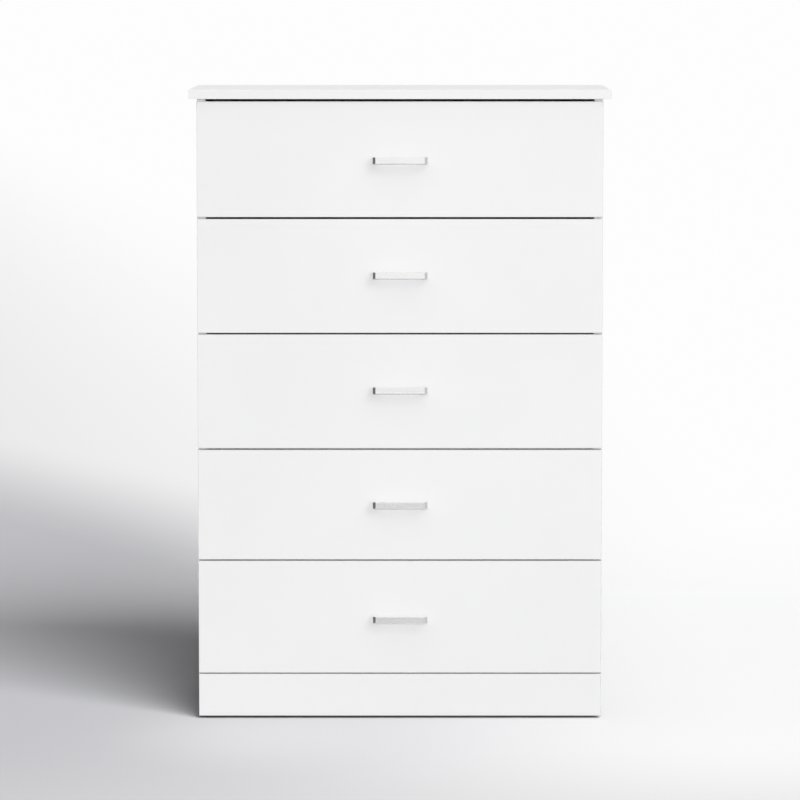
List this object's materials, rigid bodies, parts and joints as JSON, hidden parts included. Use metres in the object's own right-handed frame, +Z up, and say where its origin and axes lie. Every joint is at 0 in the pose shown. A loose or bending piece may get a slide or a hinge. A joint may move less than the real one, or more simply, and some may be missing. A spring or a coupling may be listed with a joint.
{
  "type": "chest of drawers",
  "caption": "Tall white chest with full-overlay drawers on roller runners, a bow pull in the middle of each front, an overhanging top and a full-width kickboard.",
  "frame": {"origin": "on the floor, under the middle of the box that holds the whole chest", "axes": "+X to the right seen from the front, +Y towards the back, +Z up; the drawers open towards -Y"},
  "size_m": [0.794, 0.418, 1.194],
  "materials": {
    "white_board": "smooth white melamine on particle board, satin",
    "drawer_board": "white foil on 12 mm particle board, matt",
    "drawer_bottom_board": "white-faced hardboard, matt",
    "hardboard": "raw brown hardboard outside",
    "pull_metal": "satin nickel",
    "runner_enamel": "white epoxy coat on pressed steel",
    "roller_nylon": "white nylon",
    "zinc_fittings": "zinc plated",
    "dowel_wood": "plain beech",
    "white_plastic": "extruded white plastic",
    "glide_plastic": "moulded dark grey plastic"
  },
  "bodies": {
    "carcass": {"top_panel": "white_board", "left_side_panel": "white_board", "right_side_panel": "white_board", "kickboard": "white_board", "cross_rail": "white_board", "rear_rails": "white_board", "upper_back_panel": "hardboard", "lower_back_panel": "hardboard", "back_joining_strip": "white_plastic", "floor_glides": "glide_plastic", "cabinet_runners": "runner_enamel", "cabinet_runner_screws": "zinc_fittings", "carcass_cams": "zinc_fittings", "carcass_dowels": "dowel_wood", "back_nails": "zinc_fittings"},
    "drawer_1": {"drawer_1_front": "white_board", "drawer_1_sides": "drawer_board", "drawer_1_back": "drawer_board", "drawer_1_bottom": "drawer_bottom_board", "drawer_1_pull": "pull_metal", "drawer_1_runners": "runner_enamel", "drawer_1_fasteners": "zinc_fittings"},
    "drawer_rollers_1": {"drawer_rollers_1": "roller_nylon"},
    "cabinet_rollers_1": {"cabinet_rollers_1": "roller_nylon"},
    "drawer_2": {"drawer_2_front": "white_board", "drawer_2_sides": "drawer_board", "drawer_2_back": "drawer_board", "drawer_2_bottom": "drawer_bottom_board", "drawer_2_pull": "pull_metal", "drawer_2_runners": "runner_enamel", "drawer_2_fasteners": "zinc_fittings"},
    "drawer_rollers_2": {"drawer_rollers_2": "roller_nylon"},
    "cabinet_rollers_2": {"cabinet_rollers_2": "roller_nylon"},
    "drawer_3": {"drawer_3_front": "white_board", "drawer_3_sides": "drawer_board", "drawer_3_back": "drawer_board", "drawer_3_bottom": "drawer_bottom_board", "drawer_3_pull": "pull_metal", "drawer_3_runners": "runner_enamel", "drawer_3_fasteners": "zinc_fittings"},
    "drawer_rollers_3": {"drawer_rollers_3": "roller_nylon"},
    "cabinet_rollers_3": {"cabinet_rollers_3": "roller_nylon"},
    "drawer_4": {"drawer_4_front": "white_board", "drawer_4_sides": "drawer_board", "drawer_4_back": "drawer_board", "drawer_4_bottom": "drawer_bottom_board", "drawer_4_pull": "pull_metal", "drawer_4_runners": "runner_enamel", "drawer_4_fasteners": "zinc_fittings"},
    "drawer_rollers_4": {"drawer_rollers_4": "roller_nylon"},
    "cabinet_rollers_4": {"cabinet_rollers_4": "roller_nylon"},
    "drawer_5": {"drawer_5_front": "white_board", "drawer_5_sides": "drawer_board", "drawer_5_back": "drawer_board", "drawer_5_bottom": "drawer_bottom_board", "drawer_5_pull": "pull_metal", "drawer_5_runners": "runner_enamel", "drawer_5_fasteners": "zinc_fittings"},
    "drawer_rollers_5": {"drawer_rollers_5": "roller_nylon"},
    "cabinet_rollers_5": {"cabinet_rollers_5": "roller_nylon"}
  },
  "joints": [
    {"name": "drawer_1_slide", "type": "slide", "parent": "carcass", "child": "drawer_1", "axis": [0, -1, 0], "range_m": [0, 0.26]},
    {"name": "drawer_rollers_1_turn", "type": "hinge", "parent": "drawer_1", "child": "drawer_rollers_1", "pos_m": [0, 0.176, 0.98855], "axis": [1, 0, 0], "continuous": true},
    {"name": "cabinet_rollers_1_turn", "type": "hinge", "parent": "carcass", "child": "cabinet_rollers_1", "pos_m": [0, -0.146, 0.99065], "axis": [1, 0, 0], "continuous": true},
    {"name": "drawer_2_slide", "type": "slide", "parent": "carcass", "child": "drawer_2", "axis": [0, -1, 0], "range_m": [0, 0.26]},
    {"name": "drawer_rollers_2_turn", "type": "hinge", "parent": "drawer_2", "child": "drawer_rollers_2", "pos_m": [0, 0.176, 0.77], "axis": [1, 0, 0], "continuous": true},
    {"name": "cabinet_rollers_2_turn", "type": "hinge", "parent": "carcass", "child": "cabinet_rollers_2", "pos_m": [0, -0.146, 0.7721], "axis": [1, 0, 0], "continuous": true},
    {"name": "drawer_3_slide", "type": "slide", "parent": "carcass", "child": "drawer_3", "axis": [0, -1, 0], "range_m": [0, 0.26]},
    {"name": "drawer_rollers_3_turn", "type": "hinge", "parent": "drawer_3", "child": "drawer_rollers_3", "pos_m": [0, 0.176, 0.5512], "axis": [1, 0, 0], "continuous": true},
    {"name": "cabinet_rollers_3_turn", "type": "hinge", "parent": "carcass", "child": "cabinet_rollers_3", "pos_m": [0, -0.146, 0.5533], "axis": [1, 0, 0], "continuous": true},
    {"name": "drawer_4_slide", "type": "slide", "parent": "carcass", "child": "drawer_4", "axis": [0, -1, 0], "range_m": [0, 0.26]},
    {"name": "drawer_rollers_4_turn", "type": "hinge", "parent": "drawer_4", "child": "drawer_rollers_4", "pos_m": [0, 0.176, 0.33915], "axis": [1, 0, 0], "continuous": true},
    {"name": "cabinet_rollers_4_turn", "type": "hinge", "parent": "carcass", "child": "cabinet_rollers_4", "pos_m": [0, -0.146, 0.34125], "axis": [1, 0, 0], "continuous": true},
    {"name": "drawer_5_slide", "type": "slide", "parent": "carcass", "child": "drawer_5", "axis": [0, -1, 0], "range_m": [0, 0.26]},
    {"name": "drawer_rollers_5_turn", "type": "hinge", "parent": "drawer_5", "child": "drawer_rollers_5", "pos_m": [0, 0.176, 0.12225], "axis": [1, 0, 0], "continuous": true},
    {"name": "cabinet_rollers_5_turn", "type": "hinge", "parent": "carcass", "child": "cabinet_rollers_5", "pos_m": [0, -0.146, 0.12435], "axis": [1, 0, 0], "continuous": true}
  ],
  "couplings": [
    {"joint": "drawer_rollers_1_turn", "follows": "drawer_1_slide", "rad_per_m": 95.238},
    {"joint": "cabinet_rollers_1_turn", "follows": "drawer_1_slide", "rad_per_m": 95.238},
    {"joint": "drawer_rollers_2_turn", "follows": "drawer_2_slide", "rad_per_m": 95.238},
    {"joint": "cabinet_rollers_2_turn", "follows": "drawer_2_slide", "rad_per_m": 95.238},
    {"joint": "drawer_rollers_3_turn", "follows": "drawer_3_slide", "rad_per_m": 95.238},
    {"joint": "cabinet_rollers_3_turn", "follows": "drawer_3_slide", "rad_per_m": 95.238},
    {"joint": "drawer_rollers_4_turn", "follows": "drawer_4_slide", "rad_per_m": 95.238},
    {"joint": "cabinet_rollers_4_turn", "follows": "drawer_4_slide", "rad_per_m": 95.238},
    {"joint": "drawer_rollers_5_turn", "follows": "drawer_5_slide", "rad_per_m": 95.238},
    {"joint": "cabinet_rollers_5_turn", "follows": "drawer_5_slide", "rad_per_m": 95.238}
  ]
}
